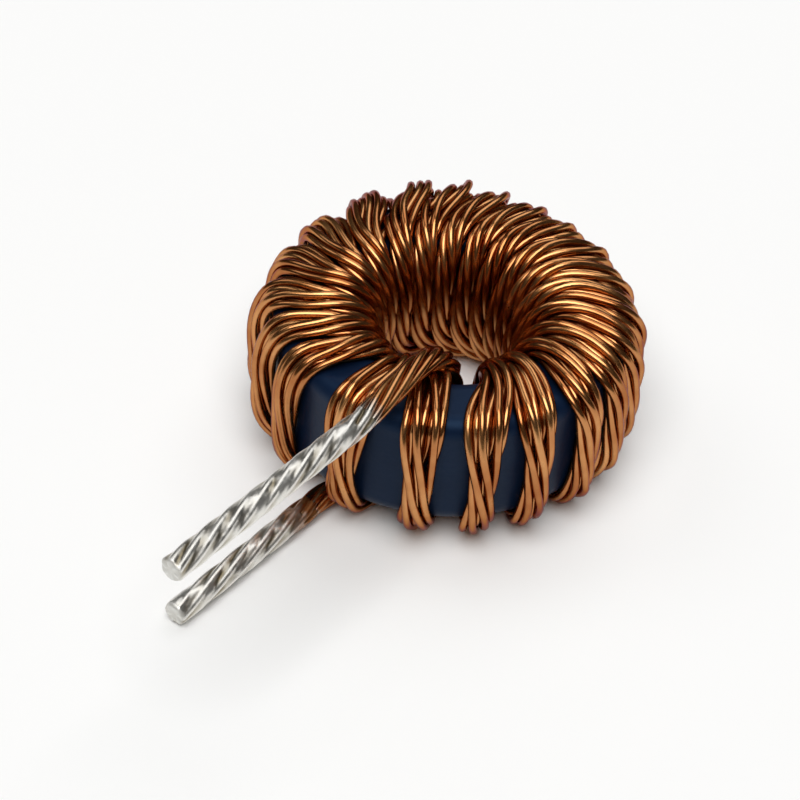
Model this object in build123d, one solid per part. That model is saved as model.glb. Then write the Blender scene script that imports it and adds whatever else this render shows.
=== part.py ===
"""Toroidal inductor: a coated powder core ring wound with one bundle of enamelled copper strands.

The ring lies flat with its axis along +Z. The origin is on that axis, on the surface that the
winding rests on. The two solder-filled lead ends point along -Y, one above the other.
Angles around the ring are in degrees, clockwise from -Y as seen from above.
"""

import os
from math import atan2, cos, degrees, pi, radians, sin

from build123d import *

# Core, over its coating
core_outer_diameter = 23.5
core_wall = 4.75
core_height = 8.7
core_edge_radius = 1.2

# Bundle of strands, twisted left-handed
strand_diameter = 0.57
inside_width_share = 0.79
ridge_count = 6
groove_depth_share = 0.36
lay_length = 22.0
wrap_clearance = 0.08
shoulder_slack = 1.0
hole_slack = 0.5

# Lead ends: a bare run past the core's outer wall, then the solder-filled length
start_lead_run = 2.75
start_lead_length = 17.1
start_lead_bend_radius = 1.5
finish_lead_run = 1.85
finish_lead_length = 12.6
finish_lead_offset = 0.6
lead_end_chamfer = 0.15

# Turns in the order they are wound, from the turn beside the start lead
first_turn_angle = -6.5
start_slot_angle = -47.0
last_turn_slot_share = 1.15
turn_gap_shares = (
    25, 17, 18, 19, 20, 21, 19, 14, 13, 13, 13, 14, 15, 15, 15, 15, 15, 19, 17, 19, 24,
)
turn_slack_shares = (
    0.2, 0.1, 0.3, 0.5, 0.2, 0.3, 0.7, 1.0, 0.5, 0.2, 0.4, 0.1, 0.3, 0.2, 0.5, 0.3, 0.1, 0.3, 0.1, 0.2, 0.1,
)
hole_slack_shares = (
    0.0, 0.2, 0.6, 0.9, 1.0, 0.8, 0.5, 0.2, 0.0, 0.2, 0.0, 0.3, 0.5, 0.9, 1.0, 0.9, 0.6, 0.3, 0.1, 0.0, 0.0,
)
fan_share = 0.76
under_lead_fan_share = 0.7
even_inside_share = 0.7

# Worked out from the sizes above
outer_radius = core_outer_diameter / 2
inner_radius = outer_radius - core_wall
bundle_diameter = 3 * strand_diameter
inside_width = inside_width_share * bundle_diameter
inside_depth = bundle_diameter**2 / inside_width
core_bottom = bundle_diameter + wrap_clearance
core_top = core_bottom + core_height
core_middle = (core_bottom + core_top) / 2
ring_middle_radius = (outer_radius + inner_radius) / 2
turn_count = len(turn_gap_shares)
last_turn = turn_count - 1
lead_radius = bundle_diameter / 2
slot_radius = inner_radius - wrap_clearance - inside_depth / 2
start_lead_begin = outer_radius + start_lead_run
finish_lead_begin = outer_radius + finish_lead_run

# One turn's path around the core's section, as (facing angle, spread, shoulder slack, hole slack and
# advance shares). The facing angle is the way that the core's surface looks: 0 out from the ring, 90 up,
# 180 into the hole, 270 down. A corner has three stations, and a multiple of 90 is the middle of a side.
# Spread runs from -1, squeezed in the hole, through 0, round, to 1, fanned out over the shoulder.
corner_step_angle = 30.0
corner_stretch = 1 / cos(radians(corner_step_angle / 2))
outside_station_shares = (
    (0, 0.4, 0.2, 0.0, 0.0),
    (15, 0.9, 0.6, 0.0, 0.0),
    (45, 1.0, 1.0, 0.0, 0.0),
    (75, 1.0, 0.6, 0.0, 0.05),
    (90, 0.7, 0.2, 0.2, 0.5),
    (105, 0.2, 0.0, 0.6, 0.9),
    (135, -0.6, 0.0, 1.0, 1.0),
    (165, -1.0, 0.0, 1.0, 1.0),
)
underside_station_shares = (
    (195, -1.0, 0.0, 0.7, 0.04),
    (225, -0.6, 0.0, 0.3, 0.15),
    (255, 0.0, 0.0, 0.0, 0.3),
    (270, 0.0, 0.0, 0.0, 0.5),
    (285, 0.0, 0.0, 0.0, 0.7),
    (315, 0.3, 0.0, 0.0, 0.85),
    (345, 0.4, 0.0, 0.0, 0.96),
)
under_lead_facing_angles = (75, 90, 105)
start_run_shares = (0.0, 0.2, 0.4, 0.6, 0.8)
start_bend_stations = ((15, 0.2, bundle_diameter), (45, 0.6, bundle_diameter), (75, 1.0, inside_width))


def outside_angles():
    """Angle of each turn on the core's outer wall."""
    total = sum(turn_gap_shares)
    angles = [first_turn_angle]
    for share in turn_gap_shares[:-1]:
        angles.append(angles[-1] + 360 * share / total)
    return angles


def inside_angles(outside):
    """Angle of each turn in the hole, where the turns crowd into nearly even slots.

    The start lead takes the first slot, the last turn the next one, and then come the others.
    """
    slot = 360 / (turn_count + 1)
    angles = []
    for turn, angle in enumerate(outside):
        place = turn + 2 if turn < last_turn else turn_count + 1 + last_turn_slot_share
        even = start_slot_angle + slot * place
        angles.append(angle + even_inside_share * (even - angle))
    return angles


def fan_width(turn):
    """Width of a turn where it fans out over the shoulder, within the narrower gap beside it."""
    narrower = min(turn_gap_shares[turn - 1], turn_gap_shares[turn])
    gap = radians(360 * narrower / sum(turn_gap_shares))
    return fan_share * gap * outer_radius


def bundle_size(turn, spread_share):
    """Width and depth of the bundle, which keeps its area as it is squeezed or spread."""
    other_width = fan_width(turn) if spread_share > 0 else inside_width
    width = bundle_diameter + abs(spread_share) * (other_width - bundle_diameter)
    return width, bundle_diameter**2 / width


def outward(angle):
    """Unit vector out from the ring's axis."""
    return Vector(-sin(radians(angle)), -cos(radians(angle)), 0)


def core_surface(facing):
    """Radius and height of the point that a station stands off from, and its stretch at a corner."""
    if facing % 90:
        outer = cos(radians(facing)) > 0
        upper = sin(radians(facing)) > 0
        radius = outer_radius - core_edge_radius if outer else inner_radius + core_edge_radius
        height = core_top - core_edge_radius if upper else core_bottom + core_edge_radius
        return radius, height, core_edge_radius, corner_stretch
    sides = {
        0: (outer_radius, core_middle),
        90: (ring_middle_radius, core_top),
        180: (inner_radius, core_middle),
        270: (ring_middle_radius, core_bottom),
    }
    radius, height = sides[facing]
    return radius, height, 0, 1


class Station:
    """A place on the bundle's path: a point, the way it faces, and the section's size there."""

    def __init__(self, foot, normal, near, width, depth, stretch=1.0):
        self.foot = foot
        self.normal = normal
        self.near = near
        self.width = width
        self.depth = depth
        self.stretch = stretch

    def middle(self):
        return self.foot + self.normal * ((self.near + self.depth / 2) * self.stretch)

    def section(self, along, twist):
        """Corners of the section across the path: a ridge for each outer strand, and the grooves between."""
        across = along.cross(self.normal).normalized()
        corners = []
        for corner in range(2 * ridge_count):
            turned = twist + pi * corner / ridge_count
            reach_share = 1 - groove_depth_share * (corner % 2)
            sideways = self.width / 2 * reach_share * cos(turned)
            height = self.near + self.depth / 2 * (1 + reach_share * sin(turned))
            corners.append(self.foot + across * sideways + self.normal * (height * self.stretch))
        return corners


def wrap_station(turn, angle, facing, spread_share, shoulder_share, hole_share):
    """Station on the core's surface at an angle around the ring."""
    radius, height, edge, stretch = core_surface(facing)
    out = outward(angle)
    normal = out * cos(radians(facing)) + Vector(0, 0, 1) * sin(radians(facing))
    foot = out * radius + Vector(0, 0, height)
    if turn == last_turn and facing in under_lead_facing_angles:
        spread_share = under_lead_fan_share
    width, depth = bundle_size(turn, spread_share)
    slack = shoulder_slack * turn_slack_shares[turn] * shoulder_share
    slack += hole_slack * hole_slack_shares[turn] * hole_share
    return Station(foot, normal, edge + wrap_clearance + slack, width, depth, stretch)


def free_station(point, normal, width):
    """Station away from the core, centred on a point of the path."""
    depth = bundle_diameter**2 / width
    return Station(point - normal * (depth / 2), normal, 0, width, depth)


def start_lead_height():
    """The start lead lies on the last turn's top run, which is fanned out under it."""
    depth = bundle_size(last_turn, under_lead_fan_share)[1]
    return core_top + wrap_clearance + depth + wrap_clearance + lead_radius


def start_lead_side():
    """The start lead runs straight out from where it comes up through the hole."""
    return (outward(start_slot_angle) * slot_radius).X


def start_stations():
    """From the start lead's soldered end, over the core's inner edge and into the hole."""
    side = start_lead_side()
    height = start_lead_height()
    slot_y = (outward(start_slot_angle) * slot_radius).Y
    bend = start_lead_bend_radius
    bend_y = slot_y - bend
    stations = []
    for run_share in start_run_shares:
        point = Vector(side, -start_lead_begin + run_share * (bend_y + start_lead_begin), height)
        stations.append(free_station(point, Vector(0, 0, 1), bundle_diameter))
    bend_middle = Vector(side, bend_y, height - bend)
    for facing, turned_share, width in start_bend_stations:
        fall = Vector(0, sin(radians(facing)), cos(radians(facing)))
        inward = outward(start_slot_angle * turned_share) * -1
        normal = inward * sin(radians(facing)) + Vector(0, 0, 1) * cos(radians(facing))
        stations.append(free_station(bend_middle + fall * (bend * corner_stretch), normal, width))
    return stations


def finish_stations(inside):
    """From the last turn's inner wall, under the core and out to the finish lead's soldered end."""
    rim_angle = degrees(atan2(finish_lead_offset, outer_radius))
    stations = []
    below = inside[last_turn] - 360
    for facing, *shares, advance_share in underside_station_shares[:4]:
        angle = below + advance_share * (rim_angle - below)
        stations.append(wrap_station(last_turn, angle, facing, *shares))
    for reach in (outer_radius, finish_lead_begin):
        point = Vector(-finish_lead_offset, -reach, lead_radius)
        stations.append(free_station(point, Vector(0, 0, -1), bundle_diameter))
    return stations


def bundle_stations():
    """Every station of the bundle, from the start lead through all turns to the finish lead."""
    outside = outside_angles()
    inside = inside_angles(outside)
    stations = start_stations()
    below = start_slot_angle
    for turn in range(turn_count):
        for facing, *shares, advance_share in underside_station_shares:
            angle = below + advance_share * (outside[turn] - below)
            stations.append(wrap_station(turn, angle, facing, *shares))
        for facing, *shares, advance_share in outside_station_shares:
            angle = outside[turn] + advance_share * (inside[turn] - outside[turn])
            stations.append(wrap_station(turn, angle, facing, *shares))
        below = inside[turn]
    return stations + finish_stations(inside)


def bundle_sections():
    """Corners of every section of the bundle, in order along it, turned with the twist of the strands."""
    stations = bundle_stations()
    middles = [station.middle() for station in stations]
    travelled = 0
    sections = []
    for place, station in enumerate(stations):
        before = middles[max(place - 1, 0)]
        after = middles[min(place + 1, len(middles) - 1)]
        travelled += (middles[place] - before).length
        sections.append(station.section(after - before, 2 * pi * travelled / lay_length))
    return sections


def flat_face(*corners):
    """Flat face with the given corners."""
    return Face(Wire.make_polygon(corners, close=True))


def span_faces(first, second):
    """Two flat faces for each side of the bundle between two sections, split along the shorter way."""
    faces = []
    for side in range(len(first)):
        after = (side + 1) % len(first)
        a, b, c, d = first[side], first[after], second[after], second[side]
        if (c - a).length < (d - b).length:
            faces += [flat_face(a, b, c), flat_face(a, c, d)]
        else:
            faces += [flat_face(a, b, d), flat_face(b, c, d)]
    return faces


def make_winding():
    """The whole winding as one solid: a skin from section to section, closed by the two end sections."""
    sections = bundle_sections()
    faces = [flat_face(*sections[0]), flat_face(*sections[-1])]
    for first, second in zip(sections, sections[1:]):
        faces += span_faces(first, second)
    return Solid(Shell(faces))


def make_core():
    """Ring of pressed powder with its edges rounded under the coating."""
    with BuildPart() as ring:
        with BuildSketch(Plane.XY.offset(core_bottom)):
            Circle(outer_radius)
            Circle(inner_radius, mode=Mode.SUBTRACT)
        extrude(amount=core_height)
        fillet(ring.edges().filter_by(GeomType.CIRCLE), core_edge_radius)
    return ring.part


def make_lead(side, begin, length, height):
    """Solder-filled lead end, a round pin with a small chamfer where it was cut off."""
    plane = Plane(origin=(side, -begin, height), z_dir=(0, -1, 0))
    with BuildPart(plane) as lead:
        Cylinder(lead_radius, length, align=(Align.CENTER, Align.CENTER, Align.MIN))
        chamfer(lead.faces().sort_by(Axis.Y)[0].edges(), lead_end_chamfer)
    return lead.part


os.makedirs("parts", exist_ok=True)
export_step(make_core(), "parts/core.step")
export_step(make_winding(), "parts/winding.step")
export_step(
    make_lead(start_lead_side(), start_lead_begin, start_lead_length, start_lead_height()),
    "parts/start_lead.step",
)
export_step(
    make_lead(-finish_lead_offset, finish_lead_begin, finish_lead_length, lead_radius),
    "parts/finish_lead.step",
)
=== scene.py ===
import math

import bpy
import numpy as np
from mathutils import Matrix, Vector, noise
from mathutils.kdtree import KDTree


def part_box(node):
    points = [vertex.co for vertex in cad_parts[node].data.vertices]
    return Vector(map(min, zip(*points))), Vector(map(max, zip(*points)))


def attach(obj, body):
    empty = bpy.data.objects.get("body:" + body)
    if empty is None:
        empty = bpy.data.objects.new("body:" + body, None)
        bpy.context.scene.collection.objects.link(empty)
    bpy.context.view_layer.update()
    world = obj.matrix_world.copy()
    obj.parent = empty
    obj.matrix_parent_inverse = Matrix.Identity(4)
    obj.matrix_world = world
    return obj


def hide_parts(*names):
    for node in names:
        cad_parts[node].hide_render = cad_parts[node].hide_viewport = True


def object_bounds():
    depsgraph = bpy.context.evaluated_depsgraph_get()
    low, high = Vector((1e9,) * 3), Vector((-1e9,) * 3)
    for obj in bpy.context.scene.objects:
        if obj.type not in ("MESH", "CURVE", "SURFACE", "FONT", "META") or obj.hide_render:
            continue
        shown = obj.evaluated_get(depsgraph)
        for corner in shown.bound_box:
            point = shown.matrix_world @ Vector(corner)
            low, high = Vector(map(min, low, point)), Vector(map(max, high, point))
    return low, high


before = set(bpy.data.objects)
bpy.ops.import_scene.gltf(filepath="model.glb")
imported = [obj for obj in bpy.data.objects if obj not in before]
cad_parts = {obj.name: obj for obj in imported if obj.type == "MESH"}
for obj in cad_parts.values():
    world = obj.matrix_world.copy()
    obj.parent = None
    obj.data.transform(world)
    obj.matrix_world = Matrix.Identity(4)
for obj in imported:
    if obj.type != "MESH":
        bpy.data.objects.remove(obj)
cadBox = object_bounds()
mm = 0.001
tiny = 1e-6
noiseLow, noiseHigh = 0.3, 0.7    # where most values of a noise pattern lie
up = np.array((0.0, 0.0, 1.0))
print("frame loaded, nodes:", sorted(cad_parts))


# small helpers

def linear(hexColour):
    # sRGB hex to the linear values that the shaders take
    channels = [int(hexColour[place:place + 2], 16) / 255 for place in (1, 3, 5)]
    return tuple(c / 12.92 if c <= 0.04045 else ((c + 0.055) / 1.055) ** 2.4 for c in channels) + (1.0,)


def addNode(tree, kind, settings=None, inputs=None):
    # one node with its settings; an input takes a value, or a socket to link from
    node = tree.nodes.new(kind)
    for name, value in (settings or {}).items():
        setattr(node, name, value)
    for key, value in (inputs or {}).items():
        if isinstance(value, bpy.types.NodeSocket):
            tree.links.new(value, node.inputs[key])
        else:
            node.inputs[key].default_value = value
    return node


def newTree(name, sockets):
    # empty Geometry Nodes tree with its named inputs and one geometry output
    tree = bpy.data.node_groups.new(name, "GeometryNodeTree")
    for label, kind in sockets:
        tree.interface.new_socket(name=label, in_out="INPUT", socket_type="NodeSocket" + kind)
    tree.interface.new_socket(name="Geometry", in_out="OUTPUT", socket_type="NodeSocketGeometry")
    return tree, addNode(tree, "NodeGroupInput").outputs, addNode(tree, "NodeGroupOutput")


def runTree(name, mesh, tree, values, finishers=()):
    # runs the tree, and any plain modifiers after it, and keeps the result as a plain mesh object
    carrier = bpy.data.objects.new(name + "Carrier", mesh)
    bpy.context.scene.collection.objects.link(carrier)
    modifier = carrier.modifiers.new("nodes", "NODES")
    modifier.node_group = tree
    for item in tree.interface.items_tree:
        if item.in_out == "INPUT" and item.name in values:
            modifier[item.identifier] = values[item.name]
    for kind, settings in finishers:
        finisher = carrier.modifiers.new(kind.lower(), kind)
        for key, value in settings.items():
            setattr(finisher, key, value)
    evaluated = carrier.evaluated_get(bpy.context.evaluated_depsgraph_get())
    plain = bpy.data.meshes.new_from_object(evaluated)
    carrier.modifiers.clear()
    bpy.data.objects.remove(carrier)
    plain.name = name
    piece = bpy.data.objects.new(name, plain)
    bpy.context.scene.collection.objects.link(piece)
    print(name, "made:", sum(len(face.vertices) - 2 for face in plain.polygons), "triangles")
    return piece


def addAttribute(mesh, name, values):
    # one number for each point, for the finishes to read
    layer = mesh.attributes.new(name, "FLOAT", "POINT")
    layer.data.foreach_set("value", np.asarray(values, dtype=np.float32))


def nodeMaterial(name):
    # new material, with its nodes and its main shader
    material = bpy.data.materials.new(name)
    material.use_nodes = True
    return material, material.node_tree, material.node_tree.nodes["Principled BSDF"]


# sizes read from the frame, in millimetres

coreLow, coreHigh = (np.array(corner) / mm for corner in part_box("core"))
coreSize = dict(
    outerRadius=(coreHigh[0] - coreLow[0]) / 2,
    innerRadius=min(math.hypot(v.co.x, v.co.y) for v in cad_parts["core"].data.vertices) / mm,
    bottom=coreLow[2],
    top=coreHigh[2],
    edge=1.2,                    # rounding of its edges
)


def leadSize(node):
    # where a lead lies, and how far out it begins and reaches
    low, high = (np.array(corner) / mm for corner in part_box(node))
    side, height = (low[0] + high[0]) / 2, (low[2] + high[2]) / 2
    return dict(side=side, height=height, begin=-high[1], reach=-low[1])


startLead = leadSize("start_lead")
finishLead = leadSize("finish_lead")

# winding: one bundle of strands, laid turn by turn

winding = dict(
    strandDiameter=0.57,
    outerStrands=6,              # they lie round one middle strand
    bundleDiameter=1.705,
    layLength=15.0,              # one full left-handed twist of the round bundle
    fanTwistShare=0.06,          # what is left of that twist where the bundle fans out
    fanGrowth=0.8,               # growth in width, in bundle diameters, of a full fan
    leastSpread=0.5,             # least distance across the strands' middles, in strand diameters
    insideWidthShare=0.92,
    clearance=0.08,
    shoulderSlack=1.0,
    holeSlack=0.5,
    startBendRadius=2.4,
    startRunShares=(0.0, 0.5),   # stations from the start lead to the bend
    startBendStations=((15, 0.2), (45, 0.6), (75, 1.0)),  # facing angle, share turned to the dive angle
    firstTurnAngle=-6.5,
    startSlotAngle=-47.0,
    startDiveAngle=-35.0,        # where the start run goes down into the hole
    firstSlot=2,                 # slots in the hole from the start run's to the first turn's
    lastTurnSlotShare=1.15,      # how many slots further the last turn goes, past the start run
    besideStartSlotShare=0.35,   # how far the turn before it keeps off the start run
    fanShare=0.83,               # width of a fan against the narrower gap beside it
    looseFanShare=0.12,          # a slack turn fans out wider
    crownShare=0.85,             # how far its side strands stay down beside the slack middle ones
    widestFan=3.8,               # all seven strands side by side
    layeredFan=3.0,              # five on top, two under them
    underLeadFanShare=0.6,
    evenInsideShare=0.7,
    turnGapShares=(25, 17, 18, 19, 20, 21, 19, 14, 13, 13, 13, 14, 15, 15, 15, 15, 15, 19, 17, 19, 24),
    turnSlackShares=(0.2, 0.1, 0.4, 0.7, 0.6, 0.9, 1.3, 1.4, 1.2, 0.8, 0.6,
                     0.1, 0.3, 0.2, 0.5, 0.3, 0.1, 0.3, 0.1, 0.2, 0.1),
    holeSlackShares=(0.0, 0.2, 0.6, 0.9, 1.0, 0.8, 0.5, 0.2, 0.0, 0.2, 0.0,
                     0.3, 0.5, 0.9, 1.0, 0.9, 0.6, 0.3, 0.1, 0.0, 0.0),
    pathStep=0.5,
    strandSides=8,
    wander=0.1,                  # how far a strand strays from its place in the bundle
    sidewaysWander=1.6,          # how many times further it strays sideways
    wanderLength=5.0,
    wanderSpacing=7.31,          # keeps the wander of one strand apart from the next
    heightChannel=20,            # first channel of the up and down wander
    tightRun=7.0,                # length beside each lead where the bundle stays tight
    startTinned=2.3,             # how far solder creeps up the strands past each lead
    finishTinned=1.2,
    seed=7,
    seedSpacing=3.7,
)

# how the strands are pressed together
press = dict(
    rounds=60,
    pushShare=0.35,              # how much of an overlap one round mends
    straightenShare=0.25,
    homeShare=0.02,              # pull back to where the strand was laid
    pairRounds=6,                # rounds from one search for close strands to the next
    pairReach=1.35,              # how far that search looks, in strand diameters
    ownSteps=5,                  # steps along one strand that count as neighbours
    looseSteps=8,                # steps from each lead to where the strands move freely
    margin=0.02,                 # room kept to the core and to the sides of the solids' box
)

leads = dict(
    startLay=12.0,               # one full twist of each lead
    finishLay=16.0,
    strandDiameter=0.58,         # over its coat of solder
    strandSides=16,
    solderFill=0.775,            # radius of the solder between the strands
    fillBegins=0.9,              # how far into the lead that solder begins
    fillSides=36,
    fillRings=80,
    lump=0.08,                   # how far that solder rises and sinks, and over what length
    lumpLength=1.8,
    voxel=0.05,
    smoothFactor=0.5,
    smoothRounds=6,
    shortened=0.08,              # room for the rounded end inside the lead's true length
    cutEnd=0.3,                  # length of the frosted, cut-off end
    endRoundShare=0.22,          # how much narrower the lead is at its very end
    valleyRadius=0.82,           # nearer the middle the solder is painted darker, as painted shade in the valleys between strands
    valleyDepth=0.1,             # this much further in it is fully painted dark
    thinSolder=5.0,              # length of each lead where copper shows through in patches
    startThinShare=0.2,          # how strongly it shows at the beginning of each
    finishThinShare=0.7,
    overlapSteps=1,              # steps by which each lead's strands reach into the winding
)

# one turn round the core's section: facing angle, then spread, shoulder, hole and advance shares
outsideStations = (
    (0, 0.2, 0.2, 0.0, 0.0),
    (15, 0.8, 0.6, 0.0, 0.0),
    (45, 1.0, 1.0, 0.0, 0.0),
    (75, 1.0, 0.6, 0.0, 0.05),
    (90, 0.7, 0.2, 0.2, 0.5),
    (105, 0.2, 0.0, 0.6, 0.9),
    (135, -0.6, 0.0, 1.0, 1.0),
    (165, -1.0, 0.0, 1.0, 1.0),
)
undersideStations = (
    (195, -1.0, 0.0, 0.7, 0.04),
    (225, -0.6, 0.0, 0.3, 0.22),
    (255, 0.0, 0.0, 0.0, 0.62),
    (270, 0.0, 0.0, 0.0, 0.92),
    (285, 0.2, 0.0, 0.0, 1.0),
    (315, 0.6, 0.0, 0.0, 1.0),
    (345, 0.4, 0.0, 0.0, 1.0),
)
finishStations = undersideStations[:4]    # the last turn's way under the core to the finish lead
underLeadFacings = (45, 75, 90, 105)
fanFacing = 75                   # where a turn's strands lie side by side
widthColumn, depthColumn, slackColumn = 6, 7, 8    # in a station's row, after its point and normal


def outward(angle):
    # unit vector out from the axis, at an angle clockwise from -Y
    return np.array((-math.sin(math.radians(angle)), -math.cos(math.radians(angle)), 0.0))


def turnAngles():
    # where each turn lies on the outer wall, and where in the hole
    total = sum(winding["turnGapShares"])
    turns = len(winding["turnGapShares"])
    outside = [winding["firstTurnAngle"]]
    for share in winding["turnGapShares"][:-1]:
        outside.append(outside[-1] + 360 * share / total)
    inside = []
    for turn, angle in enumerate(outside):
        place = turn + winding["firstSlot"]
        if turn == turns - 1:
            place += winding["lastTurnSlotShare"]
        if turn == turns - 2:
            place -= winding["besideStartSlotShare"]
        even = winding["startSlotAngle"] + 360 / (turns + 1) * place
        inside.append(angle + winding["evenInsideShare"] * (even - angle))
    return outside, inside


def bundleSize(turn, spread):
    # width and depth of the bundle, which keeps its area as it is squeezed or spread
    gaps = winding["turnGapShares"]
    narrower = math.radians(360 * min(gaps[turn - 1], gaps[turn]) / sum(gaps))
    share = winding["fanShare"] + winding["looseFanShare"] * winding["turnSlackShares"][turn]
    fanned = min(share * narrower * coreSize["outerRadius"], winding["widestFan"])
    squeezed = winding["insideWidthShare"] * winding["bundleDiameter"]
    other = fanned if spread > 0 else squeezed
    width = winding["bundleDiameter"] + abs(spread) * (other - winding["bundleDiameter"])
    return width, winding["bundleDiameter"] ** 2 / width


def coreSurface(facing):
    # radius and height that a station stands off from, and its reach to the surface there
    outer, inner, edge = coreSize["outerRadius"], coreSize["innerRadius"], coreSize["edge"]
    middle = (coreSize["bottom"] + coreSize["top"]) / 2
    if facing % 90:
        radius = outer - edge if math.cos(math.radians(facing)) > 0 else inner + edge
        height = coreSize["top"] - edge if math.sin(math.radians(facing)) > 0 else coreSize["bottom"] + edge
        return radius, height, edge
    sides = {0: (outer, middle), 90: ((outer + inner) / 2, coreSize["top"]), 180: (inner, middle),
             270: ((outer + inner) / 2, coreSize["bottom"])}
    return *sides[facing], 0.0


def wrapStation(turn, angle, facing, spread, shoulder, hole):
    # row for a place on the core's surface
    radius, height, edge = coreSurface(facing)
    out = outward(angle)
    normal = out * math.cos(math.radians(facing)) + up * math.sin(math.radians(facing))
    if turn in (0, len(winding["turnGapShares"]) - 1) and facing in underLeadFacings:
        spread = winding["underLeadFanShare"]
    width, depth = bundleSize(turn, spread)
    slack = winding["shoulderSlack"] * winding["turnSlackShares"][turn] * shoulder
    inHole = winding["holeSlack"] * winding["holeSlackShares"][turn] * hole
    off = edge + winding["clearance"] + slack + inHole
    point = out * radius + up * height + normal * (off + depth / 2)
    return (*point, *normal, width, depth, slack)


def freeStation(point, normal, width):
    # row for a place away from the core
    return (*point, *normal, width, winding["bundleDiameter"] ** 2 / width, 0.0)


def bundleStations():
    # rows of point, normal, width, depth and slack from lead to lead, and which rows lie fanned out on top
    outside, inside = turnAngles()
    turns = len(outside)
    wide = winding["bundleDiameter"]
    bend = winding["startBendRadius"]
    slotRadius = coreSize["innerRadius"] - winding["clearance"] - wide / 2
    slot = outward(winding["startDiveAngle"]) * slotRadius
    height = startLead["height"]
    bendY = slot[1] - bend
    rows, fanned = [], []
    for share in winding["startRunShares"]:
        side = startLead["side"] + share * (slot[0] - startLead["side"])
        reach = startLead["begin"] - share * (startLead["begin"] + bendY)
        rows.append(freeStation(np.array((side, -reach, height)), up, wide))
    for facing, turned in winding["startBendStations"]:
        fall = np.array((0.0, math.sin(math.radians(facing)), math.cos(math.radians(facing))))
        inward = -outward(winding["startDiveAngle"] * turned)
        normal = inward * math.sin(math.radians(facing)) + up * math.cos(math.radians(facing))
        rows.append(freeStation(np.array((slot[0], bendY, height - bend)) + fall * bend, normal, wide))
    below = winding["startDiveAngle"]
    for turn in range(turns):
        for facing, *shares, advance in undersideStations:
            rows.append(wrapStation(turn, below + advance * (outside[turn] - below), facing, *shares))
        for facing, *shares, advance in outsideStations:
            if facing == fanFacing:
                fanned.append(len(rows))
            angle = outside[turn] + advance * (inside[turn] - outside[turn])
            rows.append(wrapStation(turn, angle, facing, *shares))
        below = inside[turn]
    below -= 360
    rim = math.degrees(math.atan2(-finishLead["side"], coreSize["outerRadius"]))
    for facing, *shares, advance in finishStations:
        rows.append(wrapStation(turns - 1, below + advance * (rim - below), facing, *shares))
    for reach in (coreSize["outerRadius"], finishLead["begin"]):
        point = np.array((finishLead["side"], -reach, finishLead["height"]))
        rows.append(freeStation(point, -up, wide))
    return np.array(rows), fanned


def travelled(points):
    # distance along a line of points
    return np.concatenate(((0.0,), np.cumsum(np.linalg.norm(np.diff(points, axis=0), axis=1))))


def smoothPath(rows, step):
    # cubic curve through the stations, sampled at even steps, and where the stations lie on it
    places = travelled(rows[:, :3])
    slopes = np.gradient(rows, places, axis=0)
    wanted = np.linspace(0.0, places[-1], int(places[-1] / step))
    spans = np.clip(np.searchsorted(places, wanted, side="right") - 1, 0, len(places) - 2)
    size = (places[spans + 1] - places[spans])[:, None]
    t = (wanted - places[spans])[:, None] / size
    path = ((2 * t ** 3 - 3 * t ** 2 + 1) * rows[spans] + (t ** 3 - 2 * t ** 2 + t) * size * slopes[spans]
            + (3 * t ** 2 - 2 * t ** 3) * rows[spans + 1] + (t ** 3 - t ** 2) * size * slopes[spans + 1])
    return path, np.searchsorted(wanted, places)


def leadRun(end, lead, step):
    # straight rows from a lead's beginning to its cut end
    length = lead["reach"] - lead["begin"] - leads["shortened"]
    count = round(length / step)
    run = np.repeat(end[None, :], count, axis=0)
    run[:, 1] -= np.arange(1, count + 1) * length / count
    return run


def unit(vectors):
    return vectors / np.linalg.norm(vectors, axis=-1, keepdims=True)


def smoothNoise(places, spacing, channel):
    # slow wander between -1 and 1 along the wire, the same on each run
    lane = channel * winding["wanderSpacing"]
    layer = winding["seed"] * winding["seedSpacing"]
    return np.array([noise.noise(Vector((place / spacing, lane, layer))) for place in places])


def strandTwist(path, places, startCount, finishCount, fanned):
    # turns of twist along the wire; on each fan it is set so that most strands lie side by side
    fan = np.clip((path[:, widthColumn] / winding["bundleDiameter"] - 1) / winding["fanGrowth"], 0.0, 1.0)
    rate = (1 - (1 - winding["fanTwistShare"]) * fan) / winding["layLength"]
    rate[:startCount] = 1 / leads["startLay"]
    rate[-finishCount:] = 1 / leads["finishLay"]
    twist = np.cumsum(rate * np.gradient(places))
    even = np.round(twist[fanned] * winding["outerStrands"]) / winding["outerStrands"] - twist[fanned]
    return twist + np.interp(places, places[fanned], even)


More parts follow.
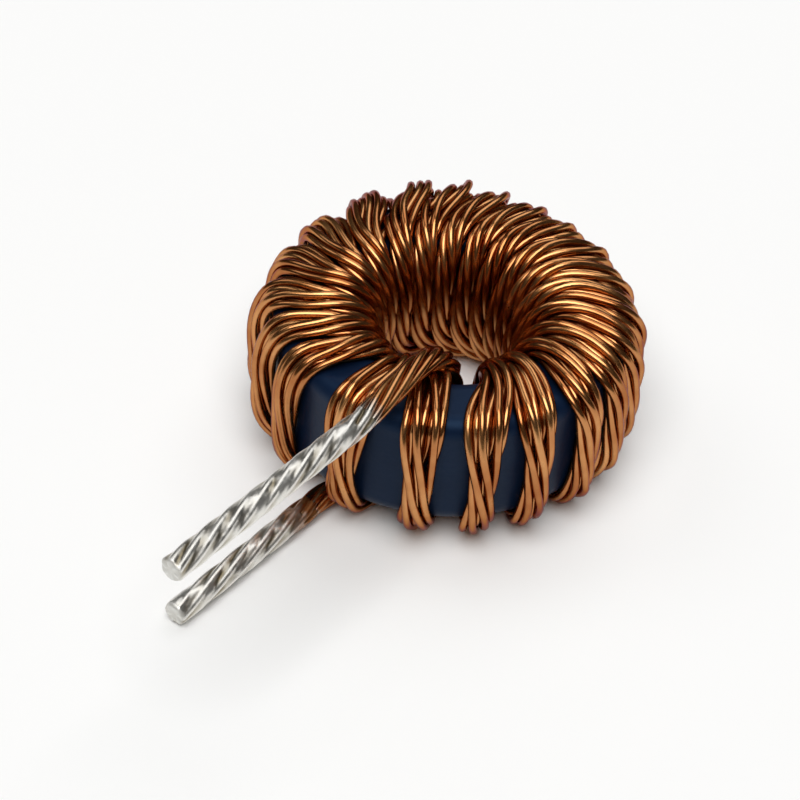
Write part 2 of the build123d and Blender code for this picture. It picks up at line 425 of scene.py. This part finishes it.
def layStrands():
    # strand centre lines, shaped (strand, place, xyz), before they are pressed together
    rows, fanned = bundleStations()
    path, stationAt = smoothPath(rows, winding["pathStep"])
    startRun = leadRun(path[0], startLead, winding["pathStep"])[::-1]
    finishRun = leadRun(path[-1], finishLead, winding["pathStep"])
    path = np.concatenate((startRun, path, finishRun))
    places = travelled(path[:, :3])
    begin, finish = len(startRun), len(path) - len(finishRun) - 1
    twist = strandTwist(path, places, begin, len(finishRun), stationAt[fanned] + begin)
    along = unit(np.gradient(path[:, :3], axis=0))
    normal = unit(path[:, 3:6] - along * np.sum(path[:, 3:6] * along, axis=1, keepdims=True))
    across = np.cross(along, normal)
    thick = winding["strandDiameter"]
    halfWidth = np.maximum(path[:, widthColumn] - thick, winding["leastSpread"] * thick) / 2
    halfDepth = np.maximum(path[:, depthColumn] - thick, winding["leastSpread"] * thick) / 2
    flat = (path[:, widthColumn] - winding["layeredFan"]) / (winding["widestFan"] - winding["layeredFan"])
    flat = np.clip(flat, 0.0, 1.0)
    fromLead = np.minimum(places - places[begin], places[finish] - places)
    free = np.clip(fromLead / winding["tightRun"], 0.0, 1.0)
    outer = winding["outerStrands"]
    evenShear = 1 / (outer * math.sin(2 * math.pi / outer))  # slides lower strands in between upper ones
    strands = []
    for strand in range(outer + 1):
        middle = strand == outer
        angle = 2 * math.pi * (strand / outer + twist)
        share = 0.0 if middle else np.cos(angle) + flat * evenShear * np.sin(angle)
        sideways = halfWidth * share
        height = 0.0 if middle else halfDepth * np.sin(angle)
        height = height - winding["crownShare"] * path[:, slackColumn] * share ** 2
        aside = smoothNoise(places, winding["wanderLength"], strand)
        aloft = smoothNoise(places, winding["wanderLength"], strand + winding["heightChannel"])
        sideways = sideways + free * winding["wander"] * winding["sidewaysWander"] * aside
        height = height + free * winding["wander"] * aloft
        strands.append(path[:, :3] + across * sideways[:, None] + normal * height[:, None])
    return places, np.array(strands), begin, finish


def coreGap(points):
    # distance from the core's surface, and the way out from it
    radial = np.hypot(points[:, 0], points[:, 1])
    middleRadius = (coreSize["outerRadius"] + coreSize["innerRadius"]) / 2
    middleHeight = (coreSize["top"] + coreSize["bottom"]) / 2
    wall = coreSize["outerRadius"] - coreSize["innerRadius"]
    half = np.array((wall, coreSize["top"] - coreSize["bottom"])) / 2
    offset = np.stack((radial - middleRadius, points[:, 2] - middleHeight), axis=1)
    inset = np.abs(offset) - (half - coreSize["edge"])
    beyond = np.maximum(inset, 0.0)
    far = np.linalg.norm(beyond, axis=1)
    deepest = np.minimum(np.max(inset, axis=1), 0.0)
    way = np.where(far[:, None] > tiny, beyond / np.maximum(far, tiny)[:, None],
                   np.eye(2)[np.argmax(inset, axis=1)]) * np.sign(offset)
    out = np.zeros_like(points)
    out[:, 0] = way[:, 0] * points[:, 0] / radial
    out[:, 1] = way[:, 0] * points[:, 1] / radial
    out[:, 2] = way[:, 1]
    return far + deepest - coreSize["edge"], out


def nearPairs(points, perStrand, reach):
    # pairs of places that lie close, apart from neighbours on one strand
    tree = KDTree(len(points))
    for index, point in enumerate(points):
        tree.insert(point, index)
    tree.balance()
    pairs = []
    for index, point in enumerate(points):
        for _, other, _ in tree.find_range(point, reach):
            sameRun = index // perStrand == other // perStrand and other - index < press["ownSteps"]
            if other > index and not sameRun:
                pairs.append((index, other))
    return np.array(pairs)


def pressTogether(strands, begin, finish):
    # pushes strands off each other and off the core, inside the solids' box, as a tight winding packs
    count, perStrand, _ = strands.shape
    points = strands.reshape(-1, 3).copy()
    thick = winding["strandDiameter"]
    margin = press["margin"]
    low, high = (np.array(corner) / mm for corner in cadBox)
    places = np.arange(perStrand)
    loose = np.clip(np.minimum(places - begin, finish - places) / press["looseSteps"], 0.0, 1.0)
    loose = np.tile(loose, count)[:, None]
    home = points.copy()
    for pressRound in range(press["rounds"]):
        if pressRound % press["pairRounds"] == 0:
            pairs = nearPairs(points, perStrand, thick * press["pairReach"])
        gap = points[pairs[:, 1]] - points[pairs[:, 0]]
        size = np.maximum(np.linalg.norm(gap, axis=1), tiny)
        push = gap * (np.maximum(thick - size, 0.0) / size * press["pushShare"])[:, None]
        move = np.zeros_like(points)
        for axis in range(3):
            move[:, axis] = np.bincount(pairs[:, 1], push[:, axis], len(points))
            move[:, axis] -= np.bincount(pairs[:, 0], push[:, axis], len(points))
        points += move * loose
        shaped = points.reshape(count, perStrand, 3)
        bend = np.zeros_like(shaped)
        bend[:, 1:-1] = (shaped[:, :-2] + shaped[:, 2:]) / 2 - shaped[:, 1:-1]
        points += (bend * press["straightenShare"]).reshape(-1, 3) * loose
        points += (home - points) * press["homeShare"]
        distance, out = coreGap(points)
        points += out * np.maximum(thick / 2 + margin - distance, 0.0)[:, None] * loose
        inside = np.clip(points, low + thick / 2 + margin, high - thick / 2 - margin)
        points += (inside - points) * loose
    return points.reshape(count, perStrand, 3)


def strandMesh(name, strands):
    # wire mesh of strand centre lines
    count, perStrand, _ = strands.shape
    mesh = bpy.data.meshes.new(name)
    edges = [(strand * perStrand + place, strand * perStrand + place + 1)
             for strand in range(count) for place in range(perStrand - 1)]
    mesh.from_pydata((strands.reshape(-1, 3) * mm).tolist(), edges, [])
    return mesh


def sweepStrands(tree, given):
    # a round, capped strand along each line of the wire mesh
    curves = addNode(tree, "GeometryNodeMeshToCurve", inputs={"Mesh": given["Paths"]})
    radius = addNode(tree, "ShaderNodeMath", {"operation": "DIVIDE"}, {0: given["Strand Diameter"], 1: 2.0})
    profile = addNode(tree, "GeometryNodeCurvePrimitiveCircle", inputs={
        "Resolution": given["Sides"], "Radius": radius.outputs[0]})
    return addNode(tree, "GeometryNodeCurveToMesh", inputs={
        "Curve": curves.outputs[0], "Profile Curve": profile.outputs[0], "Fill Caps": True})


def endTree(tree, given, result, made):
    # real geometry with its finish on, as each tree ends
    real = addNode(tree, "GeometryNodeRealizeInstances", inputs={"Geometry": made.outputs[0]})
    dressed = addNode(tree, "GeometryNodeSetMaterial", inputs={
        "Geometry": real.outputs[0], "Material": given["Finish"]})
    tree.links.new(dressed.outputs[0], result.inputs[0])
    return tree


def strandTree():
    # the single strands of the winding
    tree, given, result = newTree("sweptStrands", (
        ("Paths", "Geometry"), ("Strand Diameter", "Float"), ("Sides", "Int"), ("Finish", "Material")))
    return endTree(tree, given, result, sweepStrands(tree, given))


def leadTree():
    # the twisted strands of a lead, and the lumpy solder that fills the space between them
    tree, given, result = newTree("solderedLead", (
        ("Paths", "Geometry"), ("Strand Diameter", "Float"), ("Sides", "Int"), ("Begin", "Vector"),
        ("End", "Vector"), ("Fill Radius", "Float"), ("Fill Sides", "Int"), ("Fill Rings", "Int"),
        ("Lump", "Float"), ("Lump Length", "Float"), ("Finish", "Material")))
    tubes = sweepStrands(tree, given)
    axis = addNode(tree, "GeometryNodeCurvePrimitiveLine", inputs={
        "Start": given["Begin"], "End": given["End"]})
    rings = addNode(tree, "GeometryNodeResampleCurve", inputs={
        "Curve": axis.outputs[0], "Count": given["Fill Rings"]})
    fillProfile = addNode(tree, "GeometryNodeCurvePrimitiveCircle", inputs={
        "Resolution": given["Fill Sides"], "Radius": given["Fill Radius"]})
    fill = addNode(tree, "GeometryNodeCurveToMesh", inputs={
        "Curve": rings.outputs[0], "Profile Curve": fillProfile.outputs[0], "Fill Caps": True})
    often = addNode(tree, "ShaderNodeMath", {"operation": "DIVIDE"}, {0: 1.0, 1: given["Lump Length"]})
    swell = addNode(tree, "ShaderNodeTexNoise", inputs={"Scale": often.outputs[0], "Detail": 2.0})
    sink = addNode(tree, "ShaderNodeMath", {"operation": "MULTIPLY"}, {0: given["Lump"], 1: -1.0})
    rise = addNode(tree, "ShaderNodeMapRange", inputs={
        "Value": swell.outputs["Fac"], "From Min": noiseLow, "From Max": noiseHigh,
        "To Min": sink.outputs[0], "To Max": given["Lump"]})
    offset = addNode(tree, "ShaderNodeVectorMath", {"operation": "SCALE"}, {
        0: addNode(tree, "GeometryNodeInputNormal").outputs[0], "Scale": rise.outputs[0]})
    lumpy = addNode(tree, "GeometryNodeSetPosition", inputs={
        "Geometry": fill.outputs[0], "Offset": offset.outputs[0]})
    joined = addNode(tree, "GeometryNodeJoinGeometry", inputs={0: tubes.outputs[0]})
    tree.links.new(lumpy.outputs[0], joined.inputs[0])
    return endTree(tree, given, result, joined)


# finishes, with the sizes of their patterns in millimetres

mixFirst, mixSecond, mixResult = 6, 7, 2    # a Mix node's two colour inputs, and its colour output
copperLook = dict(
    dark="#A96734",
    light="#D89C62",
    edgeTint="#8E4E20",          # redder and darker where it turns away
    solder="#D2CEC4",
    blotch=2.4,
    strandShare=0.3,             # how much the strands differ in tone
    toneRange=(0.4, 0.95),
    frayShare=0.9,               # how much the blotches fray the edge of the solder
    solderRange=(0.8, 1.2),
    roughnessRange=(0.19, 0.29),
    enamel=0.4,
    enamelRoughness=0.12,
)


def enamelledCopper():
    # drawn copper wire under clear amber enamel: warm bright metal, silvered where solder crept up
    material, tree, shader = nodeMaterial("enamelledCopper")
    where = addNode(tree, "ShaderNodeTexCoord")
    blotch = addNode(tree, "ShaderNodeTexNoise", inputs={
        "Vector": where.outputs["Object"], "Scale": 1 / (copperLook["blotch"] * mm), "Detail": 3.0})
    strand = addNode(tree, "ShaderNodeAttribute", {"attribute_name": "tone"})
    mottle = addNode(tree, "ShaderNodeMath", {"operation": "MULTIPLY_ADD"}, {
        0: strand.outputs["Fac"], 1: copperLook["strandShare"], 2: blotch.outputs["Fac"]})
    low, high = copperLook["toneRange"]
    tone = addNode(tree, "ShaderNodeMapRange", inputs={
        "Value": mottle.outputs[0], "From Min": low, "From Max": high})
    copper = addNode(tree, "ShaderNodeMix", {"data_type": "RGBA"}, {
        "Factor": tone.outputs[0],
        mixFirst: linear(copperLook["dark"]), mixSecond: linear(copperLook["light"])})
    solder = addNode(tree, "ShaderNodeAttribute", {"attribute_name": "solder"})
    edge = addNode(tree, "ShaderNodeMath", {"operation": "MULTIPLY_ADD"}, {
        0: blotch.outputs["Fac"], 1: copperLook["frayShare"], 2: solder.outputs["Fac"]})
    low, high = copperLook["solderRange"]
    silvered = addNode(tree, "ShaderNodeMapRange", inputs={
        "Value": edge.outputs[0], "From Min": low, "From Max": high})
    colour = addNode(tree, "ShaderNodeMix", {"data_type": "RGBA"}, {
        "Factor": silvered.outputs[0],
        mixFirst: copper.outputs[mixResult], mixSecond: linear(copperLook["solder"])})
    low, high = copperLook["roughnessRange"]
    rough = addNode(tree, "ShaderNodeMapRange", inputs={
        "Value": blotch.outputs["Fac"], "From Min": noiseLow, "From Max": noiseHigh,
        "To Min": low, "To Max": high})
    tree.links.new(colour.outputs[mixResult], shader.inputs["Base Color"])
    tree.links.new(rough.outputs[0], shader.inputs["Roughness"])
    shader.inputs["Metallic"].default_value = 1.0
    shader.inputs["Specular Tint"].default_value = linear(copperLook["edgeTint"])
    shader.inputs["Coat Weight"].default_value = copperLook["enamel"]
    shader.inputs["Coat Roughness"].default_value = copperLook["enamelRoughness"]
    return material


solderLook = dict(
    dark="#DEDAD0",
    light="#F8F7F3",
    # painted shade: darker brown laid into the valleys between the strands
    valleyShade="#8E836B",
    copper="#94643C",            # shows through in patches where the solder is thin
    cut="#F4F4F1",
    grain=0.6,
    patch=1.3,
    patchRange=(0.8, 1.2),
    roughnessRange=(0.3, 0.48),
    cutRoughness=0.35,           # added at the cut end
    bump=0.4,
    bumpHeight=0.05,
)


def dippedSolder():
    # tin solder frozen over twisted wire: bright metal, with painted shade darkening the valleys between
    # strands, frosted where it was cut
    material, tree, shader = nodeMaterial("dippedSolder")
    where = addNode(tree, "ShaderNodeTexCoord")
    grain = addNode(tree, "ShaderNodeTexNoise", inputs={
        "Vector": where.outputs["Object"], "Scale": 1 / (solderLook["grain"] * mm), "Detail": 4.0})
    bright = addNode(tree, "ShaderNodeMix", {"data_type": "RGBA"}, {
        "Factor": grain.outputs["Fac"],
        mixFirst: linear(solderLook["dark"]), mixSecond: linear(solderLook["light"])})
    # painted shade: darkens the solder towards the lead's middle, in the valleys between strands
    valleyShade = addNode(tree, "ShaderNodeAttribute", {"attribute_name": "valleyShade"})
    valleyShaded = addNode(tree, "ShaderNodeMix", {"data_type": "RGBA"}, {
        "Factor": valleyShade.outputs["Fac"],
        mixFirst: bright.outputs[mixResult], mixSecond: linear(solderLook["valleyShade"])})
    patches = addNode(tree, "ShaderNodeTexNoise", inputs={
        "Vector": where.outputs["Object"], "Scale": 1 / (solderLook["patch"] * mm), "Detail": 3.0})
    thin = addNode(tree, "ShaderNodeAttribute", {"attribute_name": "thin"})
    bare = addNode(tree, "ShaderNodeMath", {"operation": "ADD"}, {
        0: patches.outputs["Fac"], 1: thin.outputs["Fac"]})
    low, high = solderLook["patchRange"]
    showing = addNode(tree, "ShaderNodeMapRange", inputs={
        "Value": bare.outputs[0], "From Min": low, "From Max": high})
    coppery = addNode(tree, "ShaderNodeMix", {"data_type": "RGBA"}, {
        "Factor": showing.outputs[0],
        mixFirst: valleyShaded.outputs[mixResult], mixSecond: linear(solderLook["copper"])})
    cut = addNode(tree, "ShaderNodeAttribute", {"attribute_name": "cutEnd"})
    colour = addNode(tree, "ShaderNodeMix", {"data_type": "RGBA"}, {
        "Factor": cut.outputs["Fac"],
        mixFirst: coppery.outputs[mixResult], mixSecond: linear(solderLook["cut"])})
    low, high = solderLook["roughnessRange"]
    polish = addNode(tree, "ShaderNodeMapRange", inputs={
        "Value": grain.outputs["Fac"], "From Min": noiseLow, "From Max": noiseHigh,
        "To Min": low, "To Max": high})
    rough = addNode(tree, "ShaderNodeMath", {"operation": "MULTIPLY_ADD"}, {
        0: cut.outputs["Fac"], 1: solderLook["cutRoughness"], 2: polish.outputs[0]})
    bump = addNode(tree, "ShaderNodeBump", inputs={
        "Height": grain.outputs["Fac"], "Strength": solderLook["bump"],
        "Distance": solderLook["bumpHeight"] * mm})
    tree.links.new(colour.outputs[mixResult], shader.inputs["Base Color"])
    tree.links.new(rough.outputs[0], shader.inputs["Roughness"])
    tree.links.new(bump.outputs[0], shader.inputs["Normal"])
    shader.inputs["Metallic"].default_value = 1.0
    return material


coatLook = dict(
    dark="#091326",
    light="#0F1F38",
    sheenTint="#82ACDC",
    cloud=3.0,
    peel=0.45,
    bump=0.25,
    bumpHeight=0.05,
    roughness=0.42,
    reflection=0.25,
    refraction=1.55,
)


def coreCoat():
    # dark blue epoxy powder coat: half-gloss with a faint orange peel
    material, tree, shader = nodeMaterial("epoxyPowderCoat")
    where = addNode(tree, "ShaderNodeTexCoord")
    cloud = addNode(tree, "ShaderNodeTexNoise", inputs={
        "Vector": where.outputs["Object"], "Scale": 1 / (coatLook["cloud"] * mm), "Detail": 3.0})
    peel = addNode(tree, "ShaderNodeTexNoise", inputs={
        "Vector": where.outputs["Object"], "Scale": 1 / (coatLook["peel"] * mm), "Detail": 2.0})
    colour = addNode(tree, "ShaderNodeMix", {"data_type": "RGBA"}, {
        "Factor": cloud.outputs["Fac"],
        mixFirst: linear(coatLook["dark"]), mixSecond: linear(coatLook["light"])})
    bump = addNode(tree, "ShaderNodeBump", inputs={
        "Height": peel.outputs["Fac"], "Strength": coatLook["bump"],
        "Distance": coatLook["bumpHeight"] * mm})
    tree.links.new(colour.outputs[mixResult], shader.inputs["Base Color"])
    tree.links.new(bump.outputs[0], shader.inputs["Normal"])
    shader.inputs["Roughness"].default_value = coatLook["roughness"]
    shader.inputs["Specular IOR Level"].default_value = coatLook["reflection"]
    shader.inputs["Specular Tint"].default_value = linear(coatLook["sheenTint"])
    shader.inputs["IOR"].default_value = coatLook["refraction"]
    return material


copperFinish = enamelledCopper()
solderFinish = dippedSolder()
coatFinish = coreCoat()
print("finishes ready")

# winding piece

places, strands, begin, finish = layStrands()
strands = pressTogether(strands, begin, finish)
strandCount = len(strands)
wound = strandMesh("strandPaths", strands[:, begin:finish + 1])
run = places[begin:finish + 1]
fromStart = 1 - (run - run[0]) / winding["startTinned"]
fromFinish = 1 - (run[-1] - run) / winding["finishTinned"]
solder = np.clip(np.maximum(fromStart, fromFinish), 0.0, 1.0)
addAttribute(wound, "solder", np.tile(solder, strandCount))
addAttribute(wound, "tone", np.repeat(np.arange(strandCount) / strandCount, len(run)))
strandPiece = runTree("copperStrands", wound, strandTree(), {
    "Strand Diameter": winding["strandDiameter"] * mm,
    "Sides": winding["strandSides"],
    "Finish": copperFinish,
})
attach(strandPiece, "root")
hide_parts("winding")

# leads: the same strands, filled and coated with solder

leadNodes = leadTree()
solderSkin = (
    ("REMESH", dict(mode="VOXEL", voxel_size=leads["voxel"] * mm)),
    ("SMOOTH", dict(factor=leads["smoothFactor"], iterations=leads["smoothRounds"])),
)
overlap = leads["overlapSteps"]
ropes = (
    ("startLeadRope", "start_lead", startLead, slice(0, begin + 1 + overlap), leads["startThinShare"]),
    ("finishLeadRope", "finish_lead", finishLead, slice(finish - overlap, None), leads["finishThinShare"]),
)
for name, node, size, stretch, thinShare in ropes:
    paths = strandMesh(name + "Paths", strands[:winding["outerStrands"], stretch])
    fillBegin = size["begin"] + leads["fillBegins"]
    fillEnd = size["reach"] - leads["shortened"]
    rope = runTree(name, paths, leadNodes, {
        "Strand Diameter": leads["strandDiameter"] * mm,
        "Sides": leads["strandSides"],
        "Begin": (size["side"] * mm, -fillBegin * mm, size["height"] * mm),
        "End": (size["side"] * mm, -fillEnd * mm, size["height"] * mm),
        "Fill Radius": leads["solderFill"] * mm,
        "Fill Sides": leads["fillSides"],
        "Fill Rings": leads["fillRings"],
        "Lump": leads["lump"] * mm,
        "Lump Length": leads["lumpLength"] * mm,
        "Finish": solderFinish,
    }, solderSkin)
    rope.data.materials.clear()
    rope.data.materials.append(solderFinish)
    rope.data.shade_smooth()
    # narrowed and frosted towards the cut end
    at = np.array([v.co for v in rope.data.vertices]) / mm
    frosted = np.clip(1 - (size["reach"] + at[:, 1]) / leads["cutEnd"], 0.0, 1.0)
    narrowed = 1 - leads["endRoundShare"] * frosted ** 2
    at[:, 0] = size["side"] + (at[:, 0] - size["side"]) * narrowed
    at[:, 2] = size["height"] + (at[:, 2] - size["height"]) * narrowed
    rope.data.vertices.foreach_set("co", (at * mm).ravel())
    # painted shade in the valleys: share of darker brown, growing towards the lead's middle
    radial = np.hypot(at[:, 0] - size["side"], at[:, 2] - size["height"])
    valleyShade = np.clip((leads["valleyRadius"] - radial) / leads["valleyDepth"], 0.0, 1.0)
    thin = np.clip(1 + (size["begin"] + at[:, 1]) / leads["thinSolder"], 0.0, 1.0)
    addAttribute(rope.data, "valleyShade", valleyShade)
    addAttribute(rope.data, "cutEnd", frosted)
    addAttribute(rope.data, "thin", thinShare * thin)
    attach(rope, "root")
    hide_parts(node)

# core keeps its own solid

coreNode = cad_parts["core"]
coreNode.data.materials.clear()
coreNode.data.materials.append(coatFinish)
print("core dressed")

# stage, light and camera

stage = dict(
    floorHalf=2.0,
    floorColour="#FCFCFB",
    floorRoughness=0.9,
    worldGrey=0.05,
    lamps=(                      # name, azimuth, elevation, width in degrees and strength
        ("keyLamp", 28.0, 68.0, 50.0, 2.45),
        ("backLamp", 195.0, 56.0, 44.0, 0.65),
        ("fillLamp", -75.0, 45.0, 30.0, 0.25),
    ),
    cameraAzimuth=36.0,
    cameraElevation=42.5,
    cameraRoll=4.86,
    cameraDistance=0.1605,
    lens=106.4,
    sensorWidth=36.0,
    clipStart=0.01,
    aimRight=-0.003066,
    aimUp=-0.003036,
)


def makeFloor():
    # pale floor under the lowest turns
    half = stage["floorHalf"]
    height = cadBox[0][2]
    corners = [(-half, -half, height), (half, -half, height), (half, half, height), (-half, half, height)]
    mesh = bpy.data.meshes.new("floor")
    mesh.from_pydata(corners, [], [(0, 1, 2, 3)])
    material, _, shader = nodeMaterial("paleFloor")
    shader.inputs["Base Color"].default_value = linear(stage["floorColour"])
    shader.inputs["Roughness"].default_value = stage["floorRoughness"]
    mesh.materials.append(material)
    floor = bpy.data.objects.new("floor", mesh)
    bpy.context.scene.collection.objects.link(floor)


def viewWay(azimuth, elevation):
    # unit vector from the object towards a viewer or a lamp
    a, e = math.radians(azimuth), math.radians(elevation)
    return Vector((math.sin(a) * math.cos(e), -math.cos(a) * math.cos(e), math.sin(e)))


def softLamp(name, azimuth, elevation, width, strength):
    # far-off soft lamp, as wide as the given angle
    data = bpy.data.lights.new(name, "SUN")
    data.angle = math.radians(width)
    data.energy = strength
    lamp = bpy.data.objects.new(name, data)
    lamp.rotation_euler = viewWay(azimuth, elevation).to_track_quat("Z", "Y").to_euler()
    bpy.context.scene.collection.objects.link(lamp)


def makeCamera():
    # looks at the middle of the core, a little off centre and rolled
    way = viewWay(stage["cameraAzimuth"], stage["cameraElevation"])
    right = Vector((0, 0, 1)).cross(way).normalized()
    upward = way.cross(right)
    roll = math.radians(stage["cameraRoll"])
    right, upward = (right * math.cos(roll) + upward * math.sin(roll),
                     upward * math.cos(roll) - right * math.sin(roll))
    target = Vector((0, 0, (coreSize["bottom"] + coreSize["top"]) / 2 * mm))
    spot = target + right * stage["aimRight"] + upward * stage["aimUp"] + way * stage["cameraDistance"]
    data = bpy.data.cameras.new("camera")
    data.lens = stage["lens"]
    data.sensor_width = stage["sensorWidth"]
    data.clip_start = stage["clipStart"]
    camera = bpy.data.objects.new("camera", data)
    camera.matrix_world = Matrix((
        (right.x, upward.x, way.x, spot.x), (right.y, upward.y, way.y, spot.y),
        (right.z, upward.z, way.z, spot.z), (0, 0, 0, 1)))
    bpy.context.scene.collection.objects.link(camera)
    bpy.context.scene.camera = camera


makeFloor()
for lamp in stage["lamps"]:
    softLamp(*lamp)
world = bpy.data.worlds.new("studio")
world.use_nodes = True
world.node_tree.nodes["Background"].inputs["Color"].default_value = (1.0, 1.0, 1.0, 1.0)
world.node_tree.nodes["Background"].inputs["Strength"].default_value = stage["worldGrey"]
bpy.context.scene.world = world
bpy.context.scene.view_settings.view_transform = "Standard"
makeCamera()
print("stage, light and camera ready")
